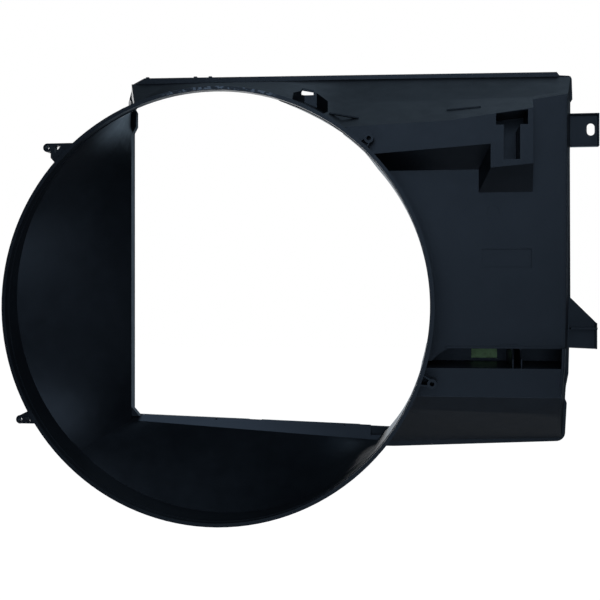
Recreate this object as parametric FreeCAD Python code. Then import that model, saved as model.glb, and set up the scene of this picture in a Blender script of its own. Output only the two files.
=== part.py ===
"""Radiator fan shroud for an engine-driven fan: a thin-walled moulding, divided at its own form lines.

Frame: +X to the right seen from the engine, +Y from the engine to the radiator, +Z up.
Origin: on the fan axis, in the middle of the fan ring's land.
Depths are counted from the ring's engine-side lip towards the radiator. All lengths are in mm.
"""
import FreeCAD, Part
import math
import os

# ------------------------------------------------------------------ driving dimensions
WALL = 3.0                      # moulded wall
FAR = 600.0                     # reach of the construction volumes

FAN_BORE_R = 245.0              # inside of the fan ring
LAND_LENGTH = 10.0              # the land just inside the ring's lip
LAND_PROUD = 0.7                # the land stands in from the throat behind it
RIM_PROUD = 2.0                 # bead round the lip
RIM_LENGTH = 6.0
MOUTH_DEPTH = 33.0              # depth on the axis where the funnel leaves the ring
MOUTH_TILT = 0.10               # the funnel starts deeper at the bottom of the ring

BODY_DEPTH = 150.0              # lip to radiator face
FLANGE = 4.0                    # radiator flange thickness
BODY_LEFT = -138.0              # radiator outline

WINDOW_LEFT = BODY_LEFT + WALL + 0.5
WINDOW_TOP = 262.0              # top of the funnel's left wall at the radiator
MITRE = 0.4                     # skin offset along the depth, per mm of wall
COLLAR = 16.0                   # collar at the radiator end of the funnel
SILL_FALL = 0.031               # the window's sill falls to the right
SILL_Z = -139.0                 # sill at the window's left side, radiator face
LIP_Z = -146.0                  # the same at the front of the collar
LIP_FALL = 0.063
FUNNEL_TOP_ANGLE = 112.0        # where the left wall leaves the ring, from +X
FUNNEL_CORNER_ANGLE = 225.0     # where the corner of the funnel leaves the ring

BAND_DEPTH = 20.0               # raised band beside the ring, and the tank hook's face
BAND_LEFT = 150.0               # where the band runs out into the ring
PANEL_DEPTH = 65.0              # seat of the coolant tank
LEDGE_DEPTH = 45.0              # ledge under the tank
CHANNEL_DEPTH = 135.0           # back of the channel that takes the tank's foot
PANEL_BOTTOM_Z = -48.4
LEDGE_TOP_Z = (-70.0, -66.3)    # at the front, at the back of the channel
LEDGE_BOTTOM_Z = -102.5

# top deck: x, then heights at BAND_DEPTH, at DECK_BEND and at the flange
DECK_BEND = 85.0
DECK_STATIONS = ((-160.0, 235.0, 261.3, 286.2), (-93.0, 235.0, 261.3, 286.0),
                 (-40.0, 250.7, 268.9, 285.9), (0.0, 253.6, 270.1, 285.5),
                 (40.0, 250.8, 268.6, 285.3), (68.0, 243.4, 264.9, 285.0),
                 (105.0, 223.9, 255.3, 284.8), (144.0, 203.0, 243.0, 284.5),
                 (266.0, 208.0, 244.0, 283.0), (357.0, 220.0, 245.0, 281.5),
                 (430.0, 236.0, 252.0, 280.5))
# lower deck: x, then heights at LEDGE_DEPTH, at KEEL_BEND and at the flange
KEEL_BEND = 65.0
KEEL_STATIONS = ((-160.0, -102.5, -111.0, -181.0), (430.0, -102.5, -124.0, -160.0))
# side wall: z, then x at PANEL_DEPTH and at the flange
SIDE_STATIONS = ((330.0, 400.5, 415.0), (0.0, 398.5, 412.0), (-66.0, 397.0, 410.0),
                 (-220.0, 384.0, 400.0))

SKIRT_Z = 150.0                 # below this the plenum behind the ring is open to the funnel
CLIP_FLOOR_LEFT = 236.5         # clip pocket's floor at x = 72, just behind the ring's land
CLIP_FLOOR_FALL = 0.442         # it falls to the right as the ring does
CLIP_FLOOR_RISE = 0.24          # and rises towards the radiator
RING_BACK = 137.0               # reach of the ring's own wall above the funnel

BAND_SOFFIT_Z = (170.0, 181.0)  # lower edge of the raised band, at x = 150 and x = 311
SOFFIT_FOOT_Z = 158.4           # where the soffit meets the tank seat

GUARD_HOLE_R = 2.4              # holes of the four fan guard screws
GUARD_BOSS_R = 5.5
GUARD_DEPTH = 8.0               # face of the two bosses, from the lip
EAR_R = 5.0
GUARD_UPPER_RIGHT = (176.5, 188.0)
GUARD_LOWER_RIGHT = (246.5, -85.5)
GUARD_UPPER_LEFT = (-195.0, 183.8)
GUARD_LOWER_LEFT = (-228.0, -131.0)

HOOK_FLOOR = 72.0               # floor of the T-shaped pocket
POCKET_WALL = 2.5
COVE = 12.0                     # foot of the ring on the tank seat
CORNER = ((246.5, -63.0), (255.5, -54.3), (266.5, -48.4))   # rounded left end of the foot channel
RIB_FRONT = 49.0                # front edges of the channel's ribs
FOOT_SLOT = (294.5, 325.5, -63.0, -52.0)
PAD = 4.0
CLIP_WINDOW = (90.4, 104.9, 86.0, 100.0, 254.8)
RING_SLOT_ANGLE = 223.4         # small slot through the ring
RING_SLOT_DEPTH = 22.0
FLANGE_INNER_TOP = 279.0        # radiator opening inside the flange
FLANGE_INNER_RIGHT = 402.0
TAB_HOLE = (438.6, 215.5)
TAB_SLOT = (9.5, 15.0)          # width and height of the tab's upright slot
TAB_PLATE = 3.5                 # plate of the tab and of the lower bracket, in front of the radiator face
TAB_RIM = 9.0                   # rim round the tab
GUSSET_RIB = 14.0               # cross rib and edge of the lower bracket
GUSSET_EDGE = 11.0

LIP_Y = -LAND_LENGTH / 2
THROAT_R = FAN_BORE_R - LAND_PROUD
RING_R = THROAT_R + WALL
DRAWN_RING_R = 247.3            # the ring that the guard ears' points were set out for
FLANGE_DEPTH = BODY_DEPTH - FLANGE
TAB_CUT = BODY_DEPTH - 10.0
COLLAR_DEPTH = BODY_DEPTH - COLLAR


# ------------------------------------------------------------------ helpers
def at(x, depth, z):
    """A point, with its depth counted from the ring's lip."""
    return FreeCAD.Vector(x, LIP_Y + depth, z)


def face_of(points):
    return Part.Face(Part.makePolygon(list(points) + [points[0]]))


def prism_x(profile, x0, x1):
    """A (depth, z) profile swept along X."""
    return face_of([at(x0, d, z) for d, z in profile]).extrude(FreeCAD.Vector(x1 - x0, 0, 0))


def prism_y(profile, depth0, depth1):
    """An (x, z) profile swept from one depth to another."""
    return face_of([at(x, depth0, z) for x, z in profile]).extrude(FreeCAD.Vector(0, depth1 - depth0, 0))


def box(x0, x1, depth0, depth1, z0, z1):
    return prism_y([(x0, z0), (x1, z0), (x1, z1), (x0, z1)], depth0, depth1)


def disc(radius, depth0, depth1, x=0.0, z=0.0):
    return Part.makeCylinder(radius, depth1 - depth0, at(x, depth0, z), FreeCAD.Vector(0, 1, 0))


def loft(wires):
    return Part.makeLoft(wires, True, True)


def joined(shapes):
    whole = shapes[0]
    for shape in shapes[1:]:
        whole = whole.fuse(shape)
    return whole


def without_slivers(shape, smallest=5.0):
    """The shape without the splinters that nearly coincident walls can leave."""
    kept = [solid for solid in shape.Solids if solid.Volume > smallest]
    return kept[0] if len(kept) == 1 else Part.makeCompound(kept)


def stretch(value, low, high, out_low, out_high):
    """Straight-line interpolation, also past its ends."""
    return out_low + (out_high - out_low) * (value - low) / (high - low)


# ------------------------------------------------------------------ outlines, each with an inset
def under_deck(inset):
    """Everything below the top deck's surface."""
    wires = []
    for x, z_front, z_bend, z_rear in DECK_STATIONS:
        rise_front = (z_bend - z_front) / (DECK_BEND - BAND_DEPTH)
        rise_rear = (z_rear - z_bend) / (FLANGE_DEPTH - DECK_BEND)
        drop_front = inset * math.hypot(1, rise_front)
        drop_rear = inset * math.hypot(1, rise_rear)
        start, end = -40.0, 180.0
        profile = [(start, z_bend - (DECK_BEND - start) * rise_front - drop_front),
                   (DECK_BEND, z_bend - (drop_front + drop_rear) / 2),
                   (end, z_bend + (end - DECK_BEND) * rise_rear - drop_rear),
                   (end, -FAR), (start, -FAR)]
        wires.append(Part.makePolygon([at(x, d, z) for d, z in profile + profile[:1]]))
    return loft(wires)


def over_keel(inset):
    """Everything above the lower deck's surface."""
    wires = []
    for x, z_front, z_bend, z_rear in KEEL_STATIONS:
        fall_front = (z_front - z_bend) / (KEEL_BEND - LEDGE_DEPTH)
        fall_rear = (z_bend - z_rear) / (FLANGE_DEPTH - KEEL_BEND)
        lift_front = inset * math.hypot(1, fall_front)
        lift_rear = inset * math.hypot(1, fall_rear)
        start, end = -40.0, 180.0
        profile = [(start, z_bend + (KEEL_BEND - start) * fall_front + lift_front),
                   (KEEL_BEND, z_bend + (lift_front + lift_rear) / 2),
                   (end, z_bend - (end - KEEL_BEND) * fall_rear + lift_rear),
                   (end, FAR), (start, FAR)]
        wires.append(Part.makePolygon([at(x, d, z) for d, z in profile + profile[:1]]))
    return loft(wires)


def inside_wall(inset):
    """Everything to the left of the side wall's surface."""
    wires = []
    for z, x_panel, x_rear in SIDE_STATIONS:
        start, end = -40.0, 180.0
        x_start = stretch(start, PANEL_DEPTH, FLANGE_DEPTH, x_panel, x_rear) - inset
        x_end = stretch(end, PANEL_DEPTH, FLANGE_DEPTH, x_panel, x_rear) - inset
        corners = [at(-FAR, start, z), at(x_start, start, z), at(x_end, end, z), at(-FAR, end, z)]
        wires.append(Part.makePolygon(corners + corners[:1]))
    return loft(wires)


def hook_block(inset):
    """The block that carries the tank's hook: narrow at its face, wider where it leaves the seat."""
    def outline(depth, left, right, z_left, z_right):
        corners = [at(left + inset, depth, z_left + inset), at(right - inset, depth, z_right + inset),
                   at(right - inset, depth, FAR), at(left + inset, depth, FAR)]
        return Part.makePolygon(corners + corners[:1])

    front = outline(BAND_DEPTH + inset, 311.0, 357.5, 154.5, 158.5)
    foot = outline(PANEL_DEPTH + inset, 300.0, 361.0, 131.7, 131.7)
    back = outline(180.0, 300.0, 361.0, 131.7, 131.7)
    return loft([front, foot]).fuse(loft([foot, back]))


def behind_ring(inset):
    """The plenum above the ring: its left wall runs from the ring's lip out to the flange's corner."""
    start = RIM_LENGTH - 0.5 + 1.5 * inset
    plan = [(stretch(d, LAND_LENGTH, FLANGE_DEPTH, -93.0, BODY_LEFT) + 1.05 * inset, d) for d in (start, 180.0)]
    plan += [(BAND_LEFT - inset, 180.0), (BAND_LEFT - inset, start)]
    return face_of([at(x, d, SKIRT_Z) for x, d in plan]).extrude(FreeCAD.Vector(0, 0, FAR))


def plenum(inset):
    """The box between the engine-side faces and the radiator, right of and above the fan ring."""
    soffit = []
    for x, z_edge in ((120.0, stretch(120.0, 150.0, 311.0, *BAND_SOFFIT_Z)),
                      (330.0, stretch(330.0, 150.0, 311.0, *BAND_SOFFIT_Z))):
        slope = (z_edge - SOFFIT_FOOT_Z) / (PANEL_DEPTH - BAND_DEPTH)
        lift = inset * math.hypot(1, slope)
        front = BAND_DEPTH + inset
        foot = PANEL_DEPTH + inset
        profile = [(front, z_edge - inset * slope + lift), (foot, SOFFIT_FOOT_Z - inset * slope + lift),
                   (180.0, SOFFIT_FOOT_Z - inset * slope + lift), (180.0, FAR), (front, FAR)]
        soffit.append(Part.makePolygon([at(x, d, z) for d, z in profile + profile[:1]]))
    band = loft(soffit)
    seat = prism_x([(PANEL_DEPTH + inset, PANEL_BOTTOM_Z + inset), (180.0, PANEL_BOTTOM_Z + inset),
                    (180.0, FAR), (PANEL_DEPTH + inset, FAR)], 120.0, FAR)
    ledge = prism_x([(LEDGE_DEPTH + inset, LEDGE_TOP_Z[0] - inset), (CHANNEL_DEPTH + inset, LEDGE_TOP_Z[1] - inset),
                     (180.0, LEDGE_TOP_Z[1] - inset), (180.0, -FAR), (LEDGE_DEPTH + inset, -FAR)],
                    168.0 + inset, FAR)
    channel_back = box(168.0 + inset, FAR, CHANNEL_DEPTH + inset, 180.0, -100.0, 50.0)
    whole = joined([band, behind_ring(inset), hook_block(inset), seat, ledge, channel_back])
    return whole.common(under_deck(inset)).common(over_keel(inset)).common(inside_wall(inset))


def mouth_depth(z):
    return MOUTH_DEPTH - MOUTH_TILT * z


def ring_arc(radius, start, end, depth_of):
    """An arc of the ring, anticlockwise seen from the engine, in a plane that may be tilted."""
    def point(angle):
        x, z = radius * math.cos(math.radians(angle)), radius * math.sin(math.radians(angle))
        return at(x, depth_of(z), z)

    if abs(depth_of(1.0) - depth_of(0.0)) < 1e-9:
        return Part.Arc(point(start), point((start + end) / 2), point(end)).toShape()
    centre = at(0, depth_of(0.0), 0)
    ellipse = Part.Ellipse(at(0, depth_of(radius), radius), at(radius, depth_of(0.0), 0), centre)
    ends = sorted((ellipse.parameter(point(start)), ellipse.parameter(point(end))))
    middle = ellipse.parameter(point((start + end) / 2))
    if not ends[0] < middle < ends[1]:
        ends = [ends[1], ends[0] + 2 * math.pi]
    return ellipse.toShape(ends[0], ends[1])


def sill_end_angle(radius, left_z, fall):
    """Where a falling sill meets the ring's circle, as a negative angle from +X."""
    low, high = -80.0, -5.0
    for _ in range(60):
        middle = (low + high) / 2
        x, z = radius * math.cos(math.radians(middle)), radius * math.sin(math.radians(middle))
        if z < left_z - fall * (x - WINDOW_LEFT):
            low = middle
        else:
            high = middle
    return low


def window_wire(depth, left_z, fall, inset):
    """The funnel's section at the radiator end: left side, sill, the ring's own arc and the top."""
    radius = THROAT_R - inset
    left = WINDOW_LEFT + inset
    sill = left_z + inset
    end = sill_end_angle(radius, sill, fall)
    x_end, z_end = radius * math.cos(math.radians(end)), radius * math.sin(math.radians(end))
    top_angle = 95.0
    x_top, z_top = radius * math.cos(math.radians(top_angle)), radius * math.sin(math.radians(top_angle))
    corner = at(left, depth, sill)
    return [Part.makeLine(at(left, depth, WINDOW_TOP - inset), corner),
            Part.makeLine(corner, at(x_end, depth, z_end)),
            ring_arc(radius, end, top_angle, lambda z: depth),
            Part.makeLine(at(x_top, depth, z_top), at(left, depth, WINDOW_TOP - inset))]


def mouth_wire(inset):
    """The funnel's section where it leaves the ring, split to match window_wire."""
    radius = THROAT_R - inset
    end = sill_end_angle(radius, LIP_Z + inset, LIP_FALL)

    def depth_of(z):
        return mouth_depth(z) - MITRE * inset

    cuts = (FUNNEL_TOP_ANGLE, FUNNEL_CORNER_ANGLE, 360.0 + end, 360.0 + 95.0, 360.0 + FUNNEL_TOP_ANGLE)
    return [ring_arc(radius, a, b, depth_of) for a, b in zip(cuts, cuts[1:])]


def bridged(front, rear):
    """The solid between two closed wires of as many edges, with a ruled face between each pair."""
    faces = [Part.Face(Part.Wire(Part.__sortEdges__(front))), Part.Face(Part.Wire(Part.__sortEdges__(rear)))]
    for a, b in zip(front, rear):
        faces.append(Part.makeRuledSurface(a, b))
    shell = Part.makeShell(faces)
    shell.sewShape()
    return Part.makeSolid(shell)


# ------------------------------------------------------------------ the moulding as one skin
def before_mouth(offset):
    """Everything on the engine side of the plane where the funnel leaves the ring."""
    low, high = mouth_depth(-FAR) + offset, mouth_depth(FAR) + offset
    return prism_x([(-FAR, -FAR), (low, -FAR), (high, FAR), (-FAR, FAR)], -FAR, FAR)


def passage(inset):
    """The air way from the ring's mouth to the radiator flange, as a solid."""
    depth = COLLAR_DEPTH - MITRE * inset
    mouth = mouth_wire(inset)
    throat = window_wire(depth, LIP_Z, LIP_FALL, inset)
    face = window_wire(FLANGE_DEPTH, SILL_Z, SILL_FALL, inset)
    return bridged(mouth, throat).fuse(bridged(throat, face))


def end_plate():
    """The side wall carried on across the open end of the foot channel."""
    strip = box(300.0, FAR, LEDGE_DEPTH, FLANGE_DEPTH, LEDGE_TOP_Z[0] - 1, PANEL_BOTTOM_Z + 1)
    return strip.common(inside_wall(0)).cut(inside_wall(WALL))


def clip_cavity(grow):
    """The clip pocket's hollow: its floor carries on the ring's fall, its right wall leans in."""
    g = grow
    plan = [(90.0 - g, 2.0), (84.0 - g, 66.0), (91.5 - 0.7 * g, 88.0 + 0.7 * g), (94.0 - 0.4 * g, 91.0 + g),
            (109.0 + 0.3 * g, 91.0 + g), (111.5 + 0.6 * g, 88.0 + 0.8 * g), (124.0 + g, 74.5 + 0.6 * g),
            (127.2 + g, 44.0), (117.5 + g, 17.0), (113.0 + g, 2.0)]
    column = face_of([at(x, d, 150.0) for x, d in plan]).extrude(FreeCAD.Vector(0, 0, FAR))
    wires = []
    for x in (60.0, 150.0):
        z = CLIP_FLOOR_LEFT - CLIP_FLOOR_FALL * (x - 72.0) - 1.03 * g
        low, high = z - CLIP_FLOOR_RISE * LAND_LENGTH, z + CLIP_FLOOR_RISE * (150.0 - LAND_LENGTH)
        profile = [(0.0, low), (150.0, high), (150.0, FAR), (0.0, FAR)]
        wires.append(Part.makePolygon([at(x, d, h) for d, h in profile + profile[:1]]))
    return column.common(loft(wires))


def moulding():
    """Ring, funnel and plenum as one thin skin, without the radiator flange."""
    front = box(-FAR, FAR, -FAR, FLANGE_DEPTH, -FAR, FAR)
    ring = disc(RING_R, 0, BODY_DEPTH).common(before_mouth(MITRE * WALL))
    rim = disc(RING_R + RIM_PROUD, 0, RIM_LENGTH)
    land = disc(FAN_BORE_R, -1, LAND_LENGTH)
    throat = disc(THROAT_R, -1, BODY_DEPTH).common(before_mouth(0))
    box_outside = plenum(0).common(front).cut(box(-FAR, FAR, -FAR, 0.5, -FAR, FAR))
    outside = joined([ring, rim, passage(-WALL), box_outside])
    inside = joined([land, throat, passage(0), plenum(WALL).cut(clip_cavity(WALL))])
    clip = clip_cavity(0).cut(disc(RING_R, -FAR, FAR))
    return outside.cut(inside).cut(clip).fuse(end_plate()).common(front)


# ------------------------------------------------------------------ form lines that divide it
def sill_below(left_z, fall, depth0, depth1):
    """Everything under a falling sill line."""
    z_left = left_z - fall * (-FAR - WINDOW_LEFT)
    z_right = left_z - fall * (FAR - WINDOW_LEFT)
    return prism_y([(-FAR, -FAR), (FAR, -FAR), (FAR, z_right), (-FAR, z_left)], depth0, depth1)


def ring_region():
    """The ring: all of the skin in front of the mouth, then its own wall where the funnel is absent."""
    front = disc(RING_R, 0, BODY_DEPTH).common(before_mouth(MITRE * WALL))
    front = front.fuse(disc(RING_R + RIM_PROUD, 0, RIM_LENGTH))
    wall = disc(RING_R, 0, RING_BACK).cut(disc(THROAT_R, -1, BODY_DEPTH))
    end = math.radians(sill_end_angle(THROAT_R, LIP_Z, LIP_FALL))
    top = math.radians(FUNNEL_TOP_ANGLE)
    x_low, z_low = RING_R * math.cos(end), RING_R * math.sin(end)
    x_high, z_high = RING_R * math.cos(top), RING_R * math.sin(top)
    right = prism_y([(x_low, z_low), (FAR, z_low), (FAR, FAR), (x_high, FAR), (x_high, z_high)], -1, BODY_DEPTH)
    return front.fuse(wall.common(right))


def regions():
    """(name, solid) in the order in which they are cut from the moulding."""
    corner = math.radians(FUNNEL_CORNER_ANGLE)
    x_ring, z_ring = THROAT_R * math.cos(corner), THROAT_R * math.sin(corner)
    slope = (LIP_Z - z_ring) / (WINDOW_LEFT - x_ring)
    z_far = z_ring + slope * (-FAR - x_ring)
    above_mitre = prism_y([(-FAR, z_far), (WINDOW_LEFT, LIP_Z), (0.0, LIP_Z), (0.0, FAR), (-FAR, FAR)],
                          -20, BODY_DEPTH)
    top = math.radians(FUNNEL_TOP_ANGLE)
    run = (WINDOW_LEFT - THROAT_R * math.cos(top), WINDOW_TOP - THROAT_R * math.sin(top))
    upper_end = (WINDOW_LEFT + 3 * run[0], WINDOW_TOP + 3 * run[1])
    lower_end = (WINDOW_LEFT - 3 * run[0], WINDOW_TOP - 3 * run[1])
    over_corner = prism_y([lower_end, upper_end, (upper_end[0], FAR), (FAR, FAR), (FAR, lower_end[1])], -20, BODY_DEPTH)
    below = prism_y([(-FAR, -FAR), (FAR, -FAR), (FAR, -100.0), (-FAR, -100.0)], -20, BODY_DEPTH)
    skin = passage(-WALL)
    sill = box(WINDOW_LEFT, 225.0, COLLAR_DEPTH, FLANGE_DEPTH, -FAR, -100.0)
    deck_zone = box(-FAR, FAR, 4.0, FLANGE_DEPTH, 150.0, FAR)
    side_zone = box(370.0, FAR, LEDGE_DEPTH, FLANGE_DEPTH, -FAR, 300.0)
    keel_zone = box(160.0, FAR, LEDGE_DEPTH, FLANGE_DEPTH, -FAR, LEDGE_BOTTOM_Z + 4)
    yield "fan_ring", ring_region()
    yield "window_sill", skin.common(sill)
    yield "funnel_left", skin.common(above_mitre).cut(over_corner)
    yield "funnel_bottom", skin.common(below)
    yield "clip_pocket", clip_cavity(WALL)
    above_ring = box(-FAR, BAND_LEFT, 4.0, FLANGE_DEPTH, SKIRT_Z, FAR).cut(behind_ring(WALL))
    yield "top_deck", deck_zone.cut(under_deck(WALL)).fuse(above_ring)
    yield "side_wall", side_zone.cut(inside_wall(WALL))
    yield "lower_deck", keel_zone.cut(over_keel(WALL)).fuse(box(160.0, 171.0, 4.0, FLANGE_DEPTH, -FAR, -100.0))
    yield "hook_block", hook_block(0)
    yield "raised_band", box(-FAR, FAR, 0, BAND_DEPTH + WALL, 100.0, FAR)
    yield "band_soffit", box(-FAR, FAR, 0, PANEL_DEPTH, 100.0, FAR)
    yield "tank_seat", box(-FAR, FAR, 0, PANEL_DEPTH + WALL, PANEL_BOTTOM_Z, FAR)
    yield "tank_ledge", box(-FAR, FAR, 0, LEDGE_DEPTH + WALL, -FAR, LEDGE_TOP_Z[0])


# ------------------------------------------------------------------ details
def deck_height(x, depth):
    """Height of the top deck's surface."""
    for low, high in zip(DECK_STATIONS, DECK_STATIONS[1:]):
        if x <= high[0]:
            break
    front, bend, rear = (stretch(x, low[0], high[0], low[i], high[i]) for i in (1, 2, 3))
    if depth <= DECK_BEND:
        return stretch(depth, BAND_DEPTH, DECK_BEND, front, bend)
    return stretch(depth, DECK_BEND, FLANGE_DEPTH, bend, rear)


def rod(radius, start, end):
    return Part.makeCylinder(radius, (end - start).Length, start, end - start)


def deck_ridges():
    """Two short ridges on the deck, above the crease."""
    lines = ((129.0, 163.0, 41.0), (263.0, 302.0, 51.0))
    return [rod(1.2, at(x0, d, deck_height(x0, d)), at(x1, d, deck_height(x1, d))) for x0, x1, d in lines]


def t_opening(grow, depth0, depth1):
    """The tank hook's T: a bar under the crease and a stem below it."""
    bar_left, bar_right = 317.0 - grow, 351.6 + grow
    stem_left, stem_right = 325.5 - grow, 343.0 + grow
    shoulder, bottom = 202.0 - grow, 163.5 - grow
    top_left, top_right = 214.6 + grow, 218.4 + grow
    profile = [(bar_left, shoulder), (stem_left, shoulder), (stem_left, bottom), (stem_right, bottom),
               (stem_right, shoulder), (bar_right, shoulder), (bar_right, top_right), (bar_left, top_left)]
    return prism_y(profile, depth0, depth1)


def hook_pocket():
    """Walls and floor behind the T, so that no air leaks through it."""
    front = BAND_DEPTH + WALL
    outer = t_opening(POCKET_WALL, front, HOOK_FLOOR + POCKET_WALL)
    hollow = t_opening(0, front - 1, HOOK_FLOOR)
    return outer.cut(hollow).common(under_deck(WALL))


def seat_cove():
    """Rounded foot between the ring's outside and the tank seat."""
    inner, outer = RING_R, RING_R + COVE
    front = PANEL_DEPTH - COVE
    arc = Part.Arc(at(inner, front, 0), at(inner + 0.22 * COVE, front + 0.78 * COVE, 0),
                   at(outer, PANEL_DEPTH, 0)).toShape()
    sides = [Part.makeLine(at(outer, PANEL_DEPTH, 0), at(inner, PANEL_DEPTH, 0)),
             Part.makeLine(at(inner, PANEL_DEPTH, 0), at(inner, front, 0))]
    section = Part.Face(Part.Wire([arc] + sides))
    section.rotate(FreeCAD.Vector(0, 0, 0), FreeCAD.Vector(0, 1, 0), 30)
    ring = section.revolve(FreeCAD.Vector(0, 0, 0), FreeCAD.Vector(0, 1, 0), -90)
    return ring.common(box(150.0, FAR, 0, PANEL_DEPTH, PANEL_BOTTOM_Z, FAR)).cut(plenum(0))


def channel_corner():
    """Rounded corner where the channel's roof runs down into the ring."""
    (x0, z0), (x1, z1), (x2, z2) = CORNER
    start, end = at(x0, PANEL_DEPTH, z0), at(x2, PANEL_DEPTH, z2)
    arc = Part.Arc(start, at(x1, PANEL_DEPTH, z1), end).toShape()
    top, low = at(x0 - 15, PANEL_DEPTH, z2), at(x0 - 15, PANEL_DEPTH, z0)
    sides = [Part.makeLine(end, top), Part.makeLine(top, low), Part.makeLine(low, start)]
    block = Part.Face(Part.Wire([arc] + sides)).extrude(FreeCAD.Vector(0, CHANNEL_DEPTH - PANEL_DEPTH, 0))
    return block.cut(disc(RING_R, 0, BODY_DEPTH))


def tank_seat(plate):
    """The seat with its cove, its bottom bead and its shallow moulded recesses."""
    bead = box(262.0, 396.0, PANEL_DEPTH - 1.4, PANEL_DEPTH, PANEL_BOTTOM_Z, PANEL_BOTTOM_Z + 2.2)
    seat = joined([plate, seat_cove(), bead])
    window = box(304.0, 360.0, PANEL_DEPTH - 1, PANEL_DEPTH + 1.6, 44.5, 66.5)
    mark = disc(7.0, PANEL_DEPTH - 1, PANEL_DEPTH + 0.5, 316.5, 110.0)
    dimple = box(322.0, 345.0, PANEL_DEPTH - 1, PANEL_DEPTH + 0.8, -44.6, -43.2)
    return seat.cut(window).cut(mark).cut(dimple)


def rounded(corners, depth0, depth1):
    """A prism from (x, z, corner radius) points."""
    edges = []
    last = None
    first = None
    count = len(corners)
    for i in range(count):
        here = at(corners[i][0], depth0, corners[i][1])
        before = at(corners[i - 1][0], depth0, corners[i - 1][1])
        after = at(corners[(i + 1) % count][0], depth0, corners[(i + 1) % count][1])
        radius = corners[i][2]
        if radius:
            back, ahead = before - here, after - here
            back.normalize()
            ahead.normalize()
            half = back.getAngle(ahead) / 2
            reach = radius / math.tan(half)
            middle = back + ahead
            middle.normalize()
            centre = here + middle * (radius / math.sin(half))
            start, end = here + back * reach, here + ahead * reach
            arc = Part.Arc(start, centre - middle * radius, end).toShape()
        else:
            start = end = here
            arc = None
        if last is not None:
            edges.append(Part.makeLine(last, start))
        else:
            first = start
        if arc:
            edges.append(arc)
        last = end
    edges.append(Part.makeLine(last, first))
    return Part.Face(Part.Wire(edges)).extrude(FreeCAD.Vector(0, depth1 - depth0, 0))


# outline of the radiator flange: x, z, corner radius
OUTLINE = ((-138.0, -176.0, 3.0), (200.8, -174.6, 0), (407.5, -164.5, 11.0), (410.0, -118.0, 0.8),
           (407.9, -113.0, 0), (408.9, -98.0, 3.0), (412.0, -82.0, 3.0), (414.3, 7.6, 0),
           (413.5, 241.1, 0.8), (413.9, 248.0, 1.0), (416.7, 252.5, 1.5), (415.8, 281.3, 5.0),
           (401.2, 282.3, 1.0), (398.0, 286.5, 1.0), (-121.0, 293.5, 2.0), (-136.0, 286.0, 3.0),
           (-142.0, 263.0, 0))


def outline(depth0, depth1):
    return rounded(OUTLINE, depth0, depth1)


def sill_height(x):
    return SILL_Z - SILL_FALL * (x - WINDOW_LEFT)


def flanges():
    """Four strips round the radiator opening, mitred where they meet."""
    d0, d1 = FLANGE_DEPTH, BODY_DEPTH
    step, notch = 157.0, 24.0
    opening = prism_y([(WINDOW_LEFT, FLANGE_INNER_TOP), (WINDOW_LEFT, sill_height(WINDOW_LEFT)),
                       (step, sill_height(step)), (step, sill_height(step) - 1.2),
                       (FLANGE_INNER_RIGHT, sill_height(FLANGE_INNER_RIGHT) - 1.2),
                       (FLANGE_INNER_RIGHT, FLANGE_INNER_TOP)], d0 - 1, d1 + 1)
    scallop = rounded([(notch - 9, sill_height(notch) + 3, 0), (notch - 7, sill_height(notch) - 3.6, 2.5),
                       (notch + 7, sill_height(notch) - 3.6, 2.5), (notch + 9, sill_height(notch) + 3, 0)],
                      d0 - 1, d1 + 1)
    plate = outline(d0, d1).cut(opening).cut(scallop)
    top = box(-FAR, FAR, d0, d1, FLANGE_INNER_TOP, FAR)
    bottom = sill_below(SILL_Z, SILL_FALL, d0, d1)
    left = box(-FAR, 0, d0, d1, -FAR, FAR)
    sides = plate.cut(top).cut(bottom)
    pips = [box(x - 2, x + 2, d0, d1, 285.0, 293.5 - 0.0144 * (x + 121.0) + 1.4) for x in (-117.0, -54.0, -34.5)]
    ear = prism_y([(WINDOW_LEFT, 222.5), (WINDOW_LEFT + 4.3, 230.5), (WINDOW_LEFT + 4.3, 249.0),
                   (WINDOW_LEFT, 256.5)], COLLAR_DEPTH + 6, d1)
    return {"flange_top": joined([plate.common(top)] + [pip.cut(opening) for pip in pips]),
            "flange_bottom": plate.common(bottom),
            "flange_left": sides.common(left).fuse(ear),
            "flange_right": sides.cut(left)}


def upper_mount_tab():
    x_hole, z_hole = TAB_HOLE
    plate = box(405.0, 448.0, BODY_DEPTH - TAB_PLATE, BODY_DEPTH, 194.3, 234.5)
    rim = box(405.0, 448.0, BODY_DEPTH - TAB_RIM, BODY_DEPTH, 194.3, 234.5)
    rim = rim.cut(box(400.0, 446.4, TAB_CUT, BODY_DEPTH + 1, 195.9, 232.9))
    half = (TAB_SLOT[1] - TAB_SLOT[0]) / 2
    slot = [disc(TAB_SLOT[0] / 2, TAB_CUT, BODY_DEPTH + 1, x_hole, z_hole + dz) for dz in (-half, half)]
    slot.append(box(x_hole - TAB_SLOT[0] / 2, x_hole + TAB_SLOT[0] / 2, TAB_CUT, BODY_DEPTH + 1,
                    z_hole - half, z_hole + half))
    tab = plate.fuse(rim).cut(joined(slot))
    return tab.cut(outline(BODY_DEPTH - 20.0, BODY_DEPTH + 1))


def lower_gusset_bracket():
    d1 = BODY_DEPTH
    plate = prism_y([(400.0, 25.0), (445.0, -20.0), (445.0, -52.0), (400.0, -50.2)], d1 - TAB_PLATE, d1)
    rib = box(400.0, 445.0, d1 - GUSSET_RIB, d1, -28.0, -25.8)
    edge = box(443.2, 445.0, d1 - GUSSET_EDGE, d1, -51.9, -20.2)
    return joined([plate, rib, edge]).cut(outline(d1 - 20.0, d1 + 1))


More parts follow.
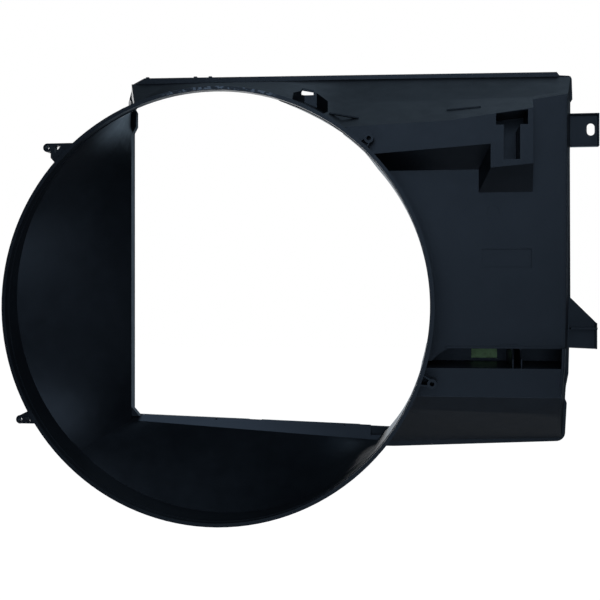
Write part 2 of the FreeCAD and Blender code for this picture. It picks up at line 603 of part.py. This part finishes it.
def boss(x, z, foot):
    """A guard screw post beside the ring, tied to it by two webs with a gap between them."""
    post = disc(GUARD_BOSS_R, GUARD_DEPTH, foot, x, z)
    angle = math.atan2(z, x)
    reach = math.hypot(x, z)
    webs = []
    for side in (-1, 1):
        lean = side * 0.026
        tip = (reach * math.cos(angle + lean * 0.45), reach * math.sin(angle + lean * 0.45))
        root = ((RING_R - 3) * math.cos(angle + lean), (RING_R - 3) * math.sin(angle + lean))
        dx, dz = 0.9 * math.sin(angle), -0.9 * math.cos(angle)
        webs.append(prism_y([(tip[0] - dx, tip[1] - dz), (tip[0] + dx, tip[1] + dz),
                             (root[0] + dx, root[1] + dz), (root[0] - dx, root[1] - dz)], GUARD_DEPTH, foot))
    body = joined([post] + webs).cut(disc(RING_R, 0, BODY_DEPTH))
    return body.cut(disc(GUARD_HOLE_R, 0, foot, x, z))


def ear(x, z, web, gap):
    """A guard screw ear that stands out from the ring's free side and is carried out or in with it."""
    d0, d1 = 3.0, 13.0
    shift = (RING_R - DRAWN_RING_R) / math.hypot(x, z)
    dx, dz = x * shift, z * shift
    web = [(px + dx, pz + dz) for px, pz in web]
    gap = [(px + dx, pz + dz) for px, pz in gap]
    body = disc(EAR_R, d0, d1, x + dx, z + dz).fuse(prism_y(web, d0, d1))
    body = body.cut(disc(RING_R + RIM_PROUD, 0, RIM_LENGTH)).cut(disc(RING_R, 0, BODY_DEPTH))
    return body.cut(prism_y(gap, 0, 20.0)).cut(disc(GUARD_HOLE_R, 0, 20.0, x + dx, z + dz))


def channel_ribs():
    """Two upright ribs that guide the tank's foot."""
    ribs = []
    for x in (337.7, 347.2):
        ribs.append(prism_x([(RIB_FRONT, PANEL_BOTTOM_Z), (CHANNEL_DEPTH, PANEL_BOTTOM_Z),
                             (CHANNEL_DEPTH, LEDGE_TOP_Z[1]),
                             (RIB_FRONT, stretch(RIB_FRONT, LEDGE_DEPTH, CHANNEL_DEPTH, *LEDGE_TOP_Z))],
                            x - 1.0, x + 1.0).cut(box(0, FAR, 0, PANEL_DEPTH, -60.0, 0)
                                                  .common(prism_x([(0, 0), (PANEL_DEPTH, 0), (PANEL_DEPTH, -50.0),
                                                                   (RIB_FRONT, -60.0), (0, -60.0)], 0, FAR))))
    return Part.makeCompound(ribs)


def foot_pocket_parts():
    """The slot in the channel's back, the closed pocket behind it and the pad in the pocket."""
    x0, x1, z0, z1 = FOOT_SLOT
    back = CHANNEL_DEPTH + WALL
    slot = box(x0, x1, CHANNEL_DEPTH - 1, back, z0, z1)
    shell = box(x0 - 2, x1 + 2, back, back + PAD + 3.5, z0 - 2, z1 + 2)
    shell = shell.cut(box(x0, x1, back - 1, back + PAD + 1.5, z0, z1))
    pad = box(x0, x1, CHANNEL_DEPTH + 0.5, back + PAD + 1.5, z0, z1)
    return slot, shell, pad


# ------------------------------------------------------------------ nodes
def nodes():
    parts = {}
    rest = moulding()
    for name, region in regions():
        parts[name] = without_slivers(rest.common(region))
        rest = rest.cut(region)
    rest = without_slivers(rest)
    slot, shell, pad = foot_pocket_parts()
    parts["foot_channel"] = rest.fuse(channel_corner()).cut(slot)
    parts["foot_pocket"] = shell
    parts["foot_pad"] = pad
    parts["channel_ribs"] = channel_ribs()
    parts["tank_seat"] = tank_seat(parts["tank_seat"])
    parts.update(flanges())

    opening = t_opening(0, 0, BAND_DEPTH + WALL + 4)
    parts["hook_block"] = parts["hook_block"].cut(opening)
    parts["hook_pocket"] = hook_pocket()
    parts["top_deck"] = joined([parts["top_deck"]] + deck_ridges()).cut(opening)

    sight = box(*CLIP_WINDOW, FAR)
    for name in ("clip_pocket", "top_deck"):
        parts[name] = parts[name].cut(sight)

    angle = math.radians(RING_SLOT_ANGLE)
    x_slot, z_slot = RING_R * math.cos(angle), RING_R * math.sin(angle)
    hole = Part.makeBox(8.0, 5.5, 3.2, FreeCAD.Vector(-4.0, -2.75, -1.6))
    hole.rotate(FreeCAD.Vector(0, 0, 0), FreeCAD.Vector(0, 1, 0), -RING_SLOT_ANGLE)
    hole.translate(at(x_slot, RING_SLOT_DEPTH, z_slot))
    parts["fan_ring"] = parts["fan_ring"].cut(hole)

    wedge = prism_y([(WINDOW_LEFT, -129.5), (WINDOW_LEFT, -141.0), (-124.5, -141.0)], COLLAR_DEPTH + 2, FLANGE_DEPTH)
    dots = [disc(1.3, COLLAR_DEPTH, FLANGE_DEPTH, x, sill_height(x) - 2.0) for x in (-26.0, 138.0)]
    parts["window_sill"] = parts["window_sill"].fuse(wedge).cut(joined(dots))

    parts["upper_mount_tab"] = upper_mount_tab()
    parts["lower_gusset_bracket"] = lower_gusset_bracket()
    parts["guard_boss_upper"] = boss(*GUARD_UPPER_RIGHT, BAND_DEPTH)
    parts["guard_boss_lower"] = boss(*GUARD_LOWER_RIGHT, LEDGE_DEPTH)
    parts["guard_ear_upper"] = ear(*GUARD_UPPER_LEFT,
                                   [(-195.0, 188.8), (-150.0, 188.8), (-180.0, 160.0), (-191.0, 172.0), (-191.0, 180.0)],
                                   [(-186.5, 185.5), (-179.0, 185.5), (-186.5, 176.5)])
    parts["guard_ear_lower"] = ear(*GUARD_LOWER_LEFT,
                                   [(-228.5, -126.2), (-200.0, -112.0), (-195.0, -135.8), (-228.5, -135.8)],
                                   [(-221.0, -128.6), (-217.6, -127.2), (-215.4, -133.0), (-220.0, -133.0)])
    return parts


def main():
    os.makedirs("parts", exist_ok=True)
    for name, shape in nodes().items():
        shape.exportStep("parts/" + name + ".step")


if __name__ == "__main__":
    main()
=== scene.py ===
"""Radiator fan shroud: finishes for each part of the moulding, and a plain studio round it."""
import math

import bmesh
import bpy
from bpy.props import FloatProperty, FloatVectorProperty, PointerProperty
from mathutils import Euler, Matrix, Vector
from mathutils.bvhtree import BVHTree


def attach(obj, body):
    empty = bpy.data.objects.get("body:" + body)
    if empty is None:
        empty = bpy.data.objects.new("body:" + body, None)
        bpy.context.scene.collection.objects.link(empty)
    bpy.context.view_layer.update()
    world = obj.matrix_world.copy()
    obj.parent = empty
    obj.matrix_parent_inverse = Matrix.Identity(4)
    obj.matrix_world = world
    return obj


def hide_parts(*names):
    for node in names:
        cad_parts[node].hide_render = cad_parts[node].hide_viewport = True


bl_info = {
    "name": "Radiator fan shroud",
    "version": (1, 0, 0),
    "blender": (4, 5, 0),
    "location": "View3D > Sidebar > Shroud",
    "description": "Finishes the parts of a moulded fan shroud and sets up its studio",
    "category": "Object",
}

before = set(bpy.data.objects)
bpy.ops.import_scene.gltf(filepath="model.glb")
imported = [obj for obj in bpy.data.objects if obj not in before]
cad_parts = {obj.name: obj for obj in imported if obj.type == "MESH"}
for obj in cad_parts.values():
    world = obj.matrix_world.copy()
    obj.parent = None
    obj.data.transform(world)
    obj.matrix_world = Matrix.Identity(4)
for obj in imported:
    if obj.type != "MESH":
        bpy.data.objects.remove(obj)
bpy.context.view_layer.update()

MERGE = 1e-6                        # metres within which a moulded part's loose corners are one
TOUCH = 6e-5                        # metres within which two parts share a wall
FLAT = math.radians(0.4)            # faces this near to one plane are one face
SHARP = math.radians(32)            # an edge that turns more than this stays crisp
BEVEL_STEPS = 2

SILL_LEFT = (-0.127, -0.121)        # where the painted light starts on the sill, beside the corner web
SILL_RIGHT = (-0.03, 0.17)          # where the painted light thins out
BEAD_RADIUS = (0.2456, 0.2462)      # inside of the bead on the ring's lip, from the fan's axis
BEAD_DEPTH = (0.0015, 0.0035)       # back of the bead
GLINTS_LEFT = (-0.062, -0.045)       # ends of the stretch of painted glints
GLINTS_RIGHT = (0.060, 0.078)
GLINTS_ABOVE = (0.1, 0.12)

RING_PARTS = ("fan_ring",)
FUNNEL_PARTS = ("funnel_left", "funnel_bottom")
SILL_PARTS = ("window_sill",)
PLENUM_PARTS = ("top_deck", "clip_pocket", "raised_band", "band_soffit", "side_wall", "lower_deck")
TANK_PARTS = ("hook_block", "hook_pocket", "tank_seat", "foot_channel", "channel_ribs", "foot_pocket",
              "tank_ledge")
FLANGE_PARTS = ("flange_top", "flange_bottom", "flange_left", "flange_right")
FIXING_PARTS = ("upper_mount_tab", "lower_gusset_bracket", "guard_boss_upper", "guard_boss_lower",
                "guard_ear_upper", "guard_ear_lower")
PAD_PARTS = ("foot_pad",)


# ---------------------------------------------------------------- shader expressions
class Socket:
    """A shader value that builds Math nodes when it is used in an expression."""

    def __init__(self, tree, link):
        self.tree = tree
        self.link = link

    def _math(self, operation, *values):
        return self.node("ShaderNodeMath", {"operation": operation}, dict(enumerate(values)))

    def node(self, kind, settings=None, inputs=None, output=0):
        """Adds any node: its settings first, then the values or links of its sockets."""
        made = self.tree.nodes.new(kind)
        for name, value in (settings or {}).items():
            setattr(made, name, value)
        for name, value in (inputs or {}).items():
            if isinstance(value, Socket):
                self.tree.links.new(value.link, made.inputs[name])
            else:
                made.inputs[name].default_value = value
        return Socket(self.tree, made.outputs[output])

    def __add__(self, other):
        return self._math("ADD", self, other)

    __radd__ = __add__

    def __sub__(self, other):
        return self._math("SUBTRACT", self, other)

    def __rsub__(self, other):
        return self._math("SUBTRACT", other, self)

    def __mul__(self, other):
        return self._math("MULTIPLY", self, other)

    __rmul__ = __mul__

    def between(self, low, high):
        """0 below low, 1 above high, smooth between."""
        return self.node("ShaderNodeMapRange", {"interpolation_type": "SMOOTHSTEP"},
                         {"Value": self, "From Min": low, "From Max": high})

    def axis(self, number):
        """One coordinate of a place: 0 across, 1 deep, 2 high."""
        return self.node("ShaderNodeSeparateXYZ", None, {"Vector": self}, number)

    def mixed(self, first, second):
        """The first colour where this is 0, the second where it is 1."""
        return self.node("ShaderNodeMix", {"data_type": "RGBA"}, {0: self, 6: first, 7: second}, 2)


def new_material(name):
    """A node material, its tree, its shader and the place on the part in metres."""
    material = bpy.data.materials.new(name)
    material.use_nodes = True
    tree = material.node_tree
    shader = tree.nodes["Principled BSDF"]
    place = tree.nodes.new("ShaderNodeTexCoord")
    return material, tree, shader, Socket(tree, place.outputs["Object"])


def noise(place, scale, detail=3.0, rough=0.55):
    """Soft noise, with the scale in cells to a metre."""
    return place.node("ShaderNodeTexNoise", None,
                      {"Vector": place, "Scale": scale, "Detail": detail, "Roughness": rough})


def moulded_plastic(settings, name="moulded_plastic", painted_light_mask=None):
    """Black plastic: a fine spark-eroded grain, soft flow marks, a little dust, and painted light where it is
    told.
    """
    material, tree, shader, place = new_material(name)
    grain = noise(place, 1.0 / settings.grain_size, 2.0, 0.6)
    flow = noise(place, 9.0, 3.0, 0.5)
    marks = noise(place, 55.0, 4.0, 0.6)
    dust = (flow * 0.7 + marks * 0.3).between(0.44, 0.66)
    dark = tuple(settings.colour) + (1.0,)
    pale = tuple(c * settings.dust_lift for c in settings.colour) + (1.0,)
    # paler colour that paints light: the lit sill and the glints on the ring's lip
    painted_light_colour = tuple(c * settings.painted_light_lift for c in settings.colour) + (1.0,)
    base = dust.mixed(dark, pale)
    if painted_light_mask:
        base = painted_light_mask(place).mixed(base, painted_light_colour)
    links = tree.links
    links.new(base.link, shader.inputs["Base Color"])
    links.new((settings.roughness + (marks - 0.5) * 0.16 + (grain - 0.5) * 0.08).link,
              shader.inputs["Roughness"])
    height = grain * 0.6 + marks * 0.4
    bump = place.node("ShaderNodeBump", None,
                      {"Height": height, "Strength": settings.grain_strength, "Distance": 0.0004})
    links.new(bump.link, shader.inputs["Normal"])
    shader.inputs["Specular IOR Level"].default_value = settings.specular
    shader.inputs["Specular Tint"].default_value = tuple(settings.sheen_tint) + (1.0,)
    return material


def sill_painted_light(place):
    """Painted light on the window's sill: paler, less so to the right and none on the corner web."""
    across = place.axis(0)
    return across.between(*SILL_LEFT) * (1 - across.between(*SILL_RIGHT) * 0.5)


def lip_painted_glints(place):
    """Painted glints on the bead of the ring's lip, along its top."""
    across, deep, high = place.axis(0), place.axis(1), place.axis(2)
    reach = across * across + high * high
    outside = reach.between(*(radius ** 2 for radius in BEAD_RADIUS))
    bead = outside * (1 - deep.between(*BEAD_DEPTH)) * high.between(*GLINTS_ABOVE)
    ends = across.between(*GLINTS_LEFT) * (1 - across.between(*GLINTS_RIGHT))
    glint_spots = noise(place, 300.0, 1.0, 0.5).between(0.50, 0.58)
    return glint_spots * bead * ends


def painted_lit_sill_plastic(settings):
    """The plastic with painted light on the sill."""
    return moulded_plastic(settings, "painted_lit_sill_plastic", sill_painted_light)


def glinting_lip_plastic(settings):
    """The plastic with painted glints on the ring's lip."""
    return moulded_plastic(settings, "glinting_lip_plastic", lip_painted_glints)


def painted_light_pad(settings):
    """Open-cell pad: a mottled surface with small pores, in a pale green that is painted light for the background
    seen through its slot.
    """
    material, tree, shader, place = new_material("painted_light_pad")
    pores = place.node("ShaderNodeTexVoronoi", None, {"Vector": place, "Scale": 900.0})
    cloud = noise(place, 120.0, 3.0, 0.6)
    base = tuple(settings.pad_light_colour) + (1.0,)
    deep = tuple(c * 0.62 for c in settings.pad_light_colour) + (1.0,)
    tree.links.new(cloud.between(0.35, 0.7).mixed(base, deep).link, shader.inputs["Base Color"])
    bump = place.node("ShaderNodeBump", None, {"Height": pores, "Strength": 0.5, "Distance": 0.0005})
    tree.links.new(bump.link, shader.inputs["Normal"])
    shader.inputs["Roughness"].default_value = 0.9
    return material


# ---------------------------------------------------------------- parts
def neighbours(node):
    """A search tree of every part but this one."""
    trees = []
    for name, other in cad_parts.items():
        if name != node:
            corners = [v.co for v in other.data.vertices]
            faces = [tuple(p.vertices) for p in other.data.polygons]
            trees.append(BVHTree.FromPolygons(corners, faces))
    return trees


def on_a_joint(edge, trees):
    """Whether an edge lies on a wall that this part shares with another."""
    a, b = (v.co for v in edge.verts)
    for share in (0.5, 0.2, 0.8):
        point = a.lerp(b, share)
        if any(tree.find_nearest(point, TOUCH)[0] is not None for tree in trees):
            return True
    return False


def finish_part(node, material, edge_radius):
    """Makes the shown copy of a moulded part: one closed skin, free edges rounded, curves smooth."""
    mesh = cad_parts[node].data.copy()
    mesh.name = node + "_skin"
    skin = bmesh.new()
    skin.from_mesh(mesh)
    bmesh.ops.remove_doubles(skin, verts=skin.verts, dist=MERGE)
    bmesh.ops.dissolve_limit(skin, angle_limit=FLAT, verts=skin.verts, edges=skin.edges)
    trees = neighbours(node)
    free = [e for e in skin.edges
            if len(e.link_faces) == 2 and e.calc_face_angle() > SHARP and not on_a_joint(e, trees)]
    if free and edge_radius:
        bmesh.ops.bevel(skin, geom=free, offset=edge_radius, offset_type="OFFSET", affect="EDGES",
                        segments=BEVEL_STEPS, profile=0.5, material=-1, clamp_overlap=True)
    for face in skin.faces:
        face.smooth = True
    for edge in skin.edges:
        edge.smooth = len(edge.link_faces) == 2 and edge.calc_face_angle() < SHARP
    skin.to_mesh(mesh)
    skin.free()
    if "custom_normal" in mesh.attributes:
        mesh.attributes.remove(mesh.attributes["custom_normal"])
    mesh.materials.clear()
    mesh.materials.append(material)
    piece = bpy.data.objects.new(node + "_skin", mesh)
    bpy.context.scene.collection.objects.link(piece)
    flat = piece.modifiers.new("flat_faces", "WEIGHTED_NORMAL")
    flat.mode = "FACE_AREA"
    flat.weight = 50
    flat.keep_sharp = True
    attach(piece, "root")
    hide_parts(node)
    return piece


def material_once(name, maker, settings):
    """The finish of that name, made on its first use."""
    return bpy.data.materials.get(name) or maker(settings)


def finish_group(context, nodes, name="moulded_plastic", maker=moulded_plastic):
    """Finishes like parts in one plastic."""
    settings = context.scene.shroud_finish
    plastic = material_once(name, maker, settings)
    for node in nodes:
        finish_part(node, plastic, settings.edge_radius)


# ---------------------------------------------------------------- settings
class ShroudFinish(bpy.types.PropertyGroup):
    """Colours and surface of the moulding and its pad."""

    colour: FloatVectorProperty(name="Plastic", description="Colour of the moulded plastic", subtype="COLOR",
                                size=3, min=0, max=1, default=(0.0033, 0.0046, 0.0066))
    dust_lift: FloatProperty(name="Dust", description="How much paler the dusty patches are", default=1.4, min=1)
    # how much paler the painted light is: the lit sill and the glints on the lip
    painted_light_lift: FloatProperty(name="Painted light", description="How much paler the painted light on the sill and the glints on the lip are",
                              default=16.0, min=1)
    roughness: FloatProperty(name="Roughness", description="Roughness of the plastic", default=0.35, min=0, max=1)
    specular: FloatProperty(name="Specular", description="Strength of the plastic's reflections", default=0.22,
                            min=0, max=1)
    sheen_tint: FloatVectorProperty(name="Reflection", description="Tint of the plastic's reflections",
                                    subtype="COLOR", size=3, min=0, max=1, default=(0.5, 0.7, 1.0))
    grain_size: FloatProperty(name="Grain", description="Size of the moulded grain", default=0.0009, unit="LENGTH")
    grain_strength: FloatProperty(name="Grain depth", description="Strength of the grain", default=0.25)
    edge_radius: FloatProperty(name="Edge radius", description="Rounding of free edges", default=0.0005,
                               unit="LENGTH")
    # the pad's pale green is painted light: it stands for the background seen through the slot
    pad_light_colour: FloatVectorProperty(name="Pad", description="Painted light colour of the foot pad, for the background seen through its slot", subtype="COLOR", size=3,
                                    min=0, max=1, default=(0.32, 0.58, 0.34))


class ShroudStage(bpy.types.PropertyGroup):
    """Floor, lamps and world light."""

    floor_drop: FloatProperty(name="Floor drop", description="Floor below the fan axis", default=1.5,
                              unit="LENGTH")
    lamp_level: FloatProperty(name="Lamps", description="Level of all the lamps", default=1.0, min=0)
    world_level: FloatProperty(name="World", description="Level of the surrounding light", default=0.045, min=0)


# ---------------------------------------------------------------- operators
class SHROUD_OT_ring(bpy.types.Operator):
    """Finish the fan ring and its funnel"""

    bl_idname = "shroud.ring"
    bl_label = "Fan ring and funnel"

    def execute(self, context):
        # the ring's plastic carries painted glints on its lip
        finish_group(context, RING_PARTS, "glinting_lip_plastic", glinting_lip_plastic)
        finish_group(context, FUNNEL_PARTS)
        # the sill's plastic carries painted light
        finish_group(context, SILL_PARTS, "painted_lit_sill_plastic", painted_lit_sill_plastic)
        return {"FINISHED"}


class SHROUD_OT_plenum(bpy.types.Operator):
    """Finish the plenum's walls"""

    bl_idname = "shroud.plenum"
    bl_label = "Plenum"

    def execute(self, context):
        finish_group(context, PLENUM_PARTS)
        return {"FINISHED"}


class SHROUD_OT_tank(bpy.types.Operator):
    """Finish the tank seat, its hook block and its foot channel"""

    bl_idname = "shroud.tank"
    bl_label = "Tank seat"

    def execute(self, context):
        finish_group(context, TANK_PARTS)
        return {"FINISHED"}


class SHROUD_OT_flange(bpy.types.Operator):
    """Finish the radiator flange"""

    bl_idname = "shroud.flange"
    bl_label = "Radiator flange"

    def execute(self, context):
        finish_group(context, FLANGE_PARTS)
        return {"FINISHED"}


class SHROUD_OT_fixings(bpy.types.Operator):
    """Finish the tabs, bosses and ears"""

    bl_idname = "shroud.fixings"
    bl_label = "Tabs, bosses and ears"

    def execute(self, context):
        finish_group(context, FIXING_PARTS)
        return {"FINISHED"}


class SHROUD_OT_pad(bpy.types.Operator):
    """Finish the pad behind the tank's foot"""

    bl_idname = "shroud.pad"
    bl_label = "Foot pad"

    def execute(self, context):
        settings = context.scene.shroud_finish
        # the pad's colour is painted light for the background seen through its slot
        pad_finish = material_once("painted_light_pad", painted_light_pad, settings)
        for node in PAD_PARTS:
            finish_part(node, pad_finish, settings.edge_radius)
        return {"FINISHED"}


class SHROUD_OT_stage(bpy.types.Operator):
    """Set up the floor, the lamps, the world and the camera"""

    bl_idname = "shroud.stage"
    bl_label = "Stage"

    def execute(self, context):
        settings = context.scene.shroud_stage
        make_floor(settings)
        make_world(context.scene, settings)
        make_lamps(settings)
        make_camera(context.scene)
        context.scene.view_settings.view_transform = "Standard"
        return {"FINISHED"}


# ---------------------------------------------------------------- stage
WHITE = (1.0, 1.0, 1.0)
COOL = (0.6, 0.8, 1.0)
FLOOR_HALF = 30.0                   # half the side of the floor
FLOOR_FADE = (0.6, 1.0)             # distance at which the floor's own white comes up
GREY = (0.35, 0.35, 0.35, 1.0)      # the floor as the part's light sees it
PALE = (0.85, 0.85, 0.85, 1.0)      # the floor as it is seen
BLACK = (0.0, 0.0, 0.0, 1.0)


def make_floor(settings):
    """A plain pale floor that reads white far off and keeps the part's shadow near it."""
    bm = bmesh.new()
    bmesh.ops.create_grid(bm, x_segments=1, y_segments=1, size=FLOOR_HALF)
    mesh = bpy.data.meshes.new("floor")
    bm.to_mesh(mesh)
    bm.free()
    floor = bpy.data.objects.new("floor", mesh)
    floor.location.z = -settings.floor_drop
    bpy.context.scene.collection.objects.link(floor)
    material, tree, shader, place = new_material("pale_floor")
    shader.inputs["Roughness"].default_value = 0.9
    shader.inputs["Specular IOR Level"].default_value = 0.0
    path = tree.nodes.new("ShaderNodeLightPath")
    seen = Socket(tree, path.outputs["Is Camera Ray"])
    tree.links.new(seen.mixed(GREY, PALE).link, shader.inputs["Base Color"])
    distance = place.node("ShaderNodeVectorMath", {"operation": "LENGTH"}, {0: place}, 1)
    far = distance.between(*FLOOR_FADE)
    glow = (seen * (far * 0.6 + 0.4)).mixed(BLACK, WHITE + (1.0,))
    tree.links.new(glow.link, shader.inputs["Emission Color"])
    shader.inputs["Emission Strength"].default_value = 1.0
    mesh.materials.append(material)


def make_world(scene, settings):
    """A dim cool light all round, and white behind the part."""
    world = bpy.data.worlds.new("studio")
    world.use_nodes = True
    scene.world = world
    tree = world.node_tree
    background = tree.nodes["Background"]
    path = tree.nodes.new("ShaderNodeLightPath")
    seen = Socket(tree, path.outputs["Is Camera Ray"])
    level = seen * (1.0 - settings.world_level) + settings.world_level
    tree.links.new(level.link, background.inputs["Strength"])
    tree.links.new(seen.mixed(COOL + (1.0,), WHITE + (1.0,)).link, background.inputs["Color"])


# name, direction from the moulding, distance and side in metres, power in watts, colour
LAMPS = (
    ("front", (0.0, -1.0, 0.0), 2.5, 1.5, 9.5, WHITE),
    ("key", (0.0, -0.87, 0.5), 2.5, 1.5, 17.2, WHITE),
    ("right", (0.7, -0.4, 0.6), 2.5, 1.5, 18.5, WHITE),
    ("low_right", (0.7, -0.4, -0.55), 1.9, 1.15, 6.0, WHITE),
    ("low_front", (0.0, -0.5, -0.87), 1.6, 1.0, 16.0, WHITE),
    ("back", (0.0, 0.6, 0.8), 2.5, 1.5, 2.2, COOL),
    ("rear", (0.05, 1.0, 0.0), 2.5, 1.5, 4.0, COOL),
    ("rear_left", (-0.5, 0.85, 0.05), 2.5, 1.5, 14.0, WHITE),
)
LIT_POINT = (0.1, 0.07, 0.0)
LENS = 60.0                         # millimetres, on a 36 mm sensor
EYE = (0.2443, -1.112, 0.0076)
EYE_TURN = math.atan(0.13)          # to the left


def make_lamps(settings):
    """Soft square lamps all round, each turned to the moulding."""
    for name, direction, distance, side, power, colour in LAMPS:
        data = bpy.data.lights.new(name, "AREA")
        data.size = side
        data.energy = power * settings.lamp_level
        data.color = colour
        lamp = bpy.data.objects.new(name, data)
        away = Vector(direction).normalized()
        lamp.location = Vector(LIT_POINT) + away * distance
        lamp.rotation_euler = away.to_track_quat("Z", "Y").to_euler()
        lamp.visible_camera = False
        bpy.context.scene.collection.objects.link(lamp)


def make_camera(scene):
    """A level camera in front of the ring's right edge, turned a little to the left."""
    data = bpy.data.cameras.new("camera")
    data.lens = LENS
    data.sensor_width = 36.0
    camera = bpy.data.objects.new("camera", data)
    camera.location = EYE
    camera.rotation_euler = Euler((math.radians(90), 0.0, EYE_TURN))
    scene.collection.objects.link(camera)
    scene.camera = camera


# ---------------------------------------------------------------- panel
STEPS = ("shroud.ring", "shroud.plenum", "shroud.tank", "shroud.flange", "shroud.fixings", "shroud.pad",
         "shroud.stage")


class SHROUD_PT_panel(bpy.types.Panel):
    """Settings and steps of the fan shroud"""

    bl_idname = "SHROUD_PT_panel"
    bl_label = "Fan shroud"
    bl_space_type = "VIEW_3D"
    bl_region_type = "UI"
    bl_category = "Shroud"

    def draw(self, context):
        for group in (context.scene.shroud_finish, context.scene.shroud_stage):
            for name in group.__annotations__:
                self.layout.prop(group, name)
        for step in STEPS:
            self.layout.operator(step)


CLASSES = (ShroudFinish, ShroudStage, SHROUD_OT_ring, SHROUD_OT_plenum, SHROUD_OT_tank, SHROUD_OT_flange,
           SHROUD_OT_fixings, SHROUD_OT_pad, SHROUD_OT_stage, SHROUD_PT_panel)


def register():
    """Adds the settings, steps and panel."""
    for cls in CLASSES:
        bpy.utils.register_class(cls)
    bpy.types.Scene.shroud_finish = PointerProperty(type=ShroudFinish)
    bpy.types.Scene.shroud_stage = PointerProperty(type=ShroudStage)


def unregister():
    """Takes them away."""
    del bpy.types.Scene.shroud_stage
    del bpy.types.Scene.shroud_finish
    for cls in reversed(CLASSES):
        bpy.utils.unregister_class(cls)


def main():
    """Runs every step in order."""
    register()
    bpy.ops.shroud.ring()
    bpy.ops.shroud.plenum()
    bpy.ops.shroud.tank()
    bpy.ops.shroud.flange()
    bpy.ops.shroud.fixings()
    bpy.ops.shroud.pad()
    bpy.ops.shroud.stage()


if __name__ == "__main__":
    main()
